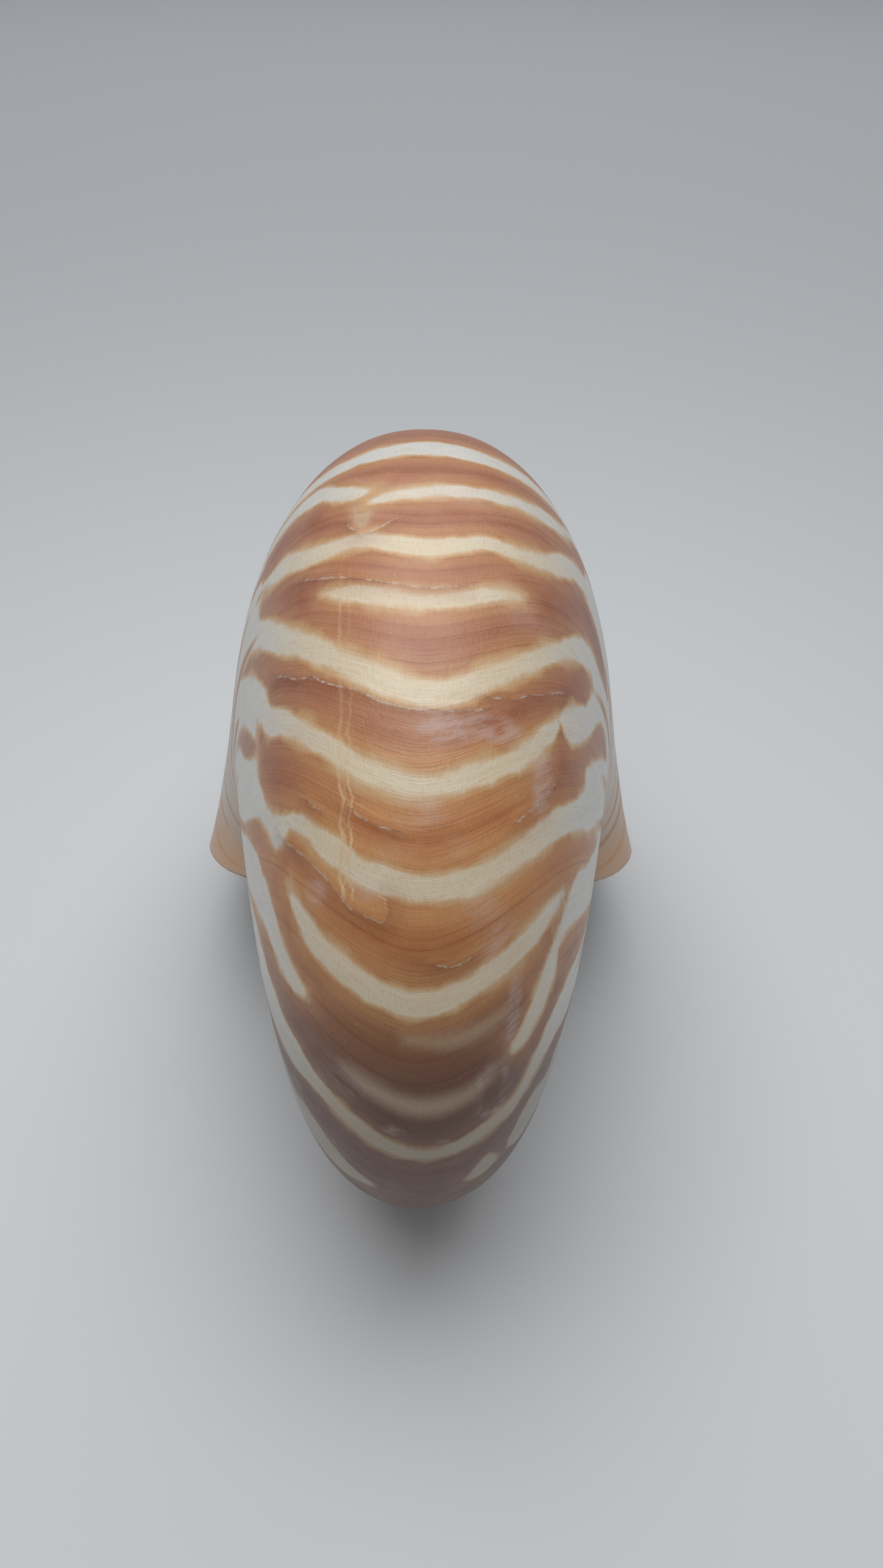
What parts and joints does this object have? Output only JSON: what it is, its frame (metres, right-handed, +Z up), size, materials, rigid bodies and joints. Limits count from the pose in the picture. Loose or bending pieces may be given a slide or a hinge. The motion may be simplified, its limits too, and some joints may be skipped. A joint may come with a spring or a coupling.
{
  "type": "chambered nautilus shell",
  "caption": "Whole nautilus shell, a smooth flat coil with brown flame stripes, resting mouth down on its lip and first whorl.",
  "frame": {"origin": "on the surface the shell rests on, under the centre of its bounding box", "axes": "+Z up; +Y from the first whorl's back towards the lip of the mouth; X across the shell, parallel to the coil's axis"},
  "size_m": [0.0854, 0.153, 0.1159],
  "materials": {
    "shell": "satin natural shell, cream white with brown stripes outside, pearly inside"
  },
  "bodies": {
    "root": {"shell": "shell"}
  },
  "joints": []
}
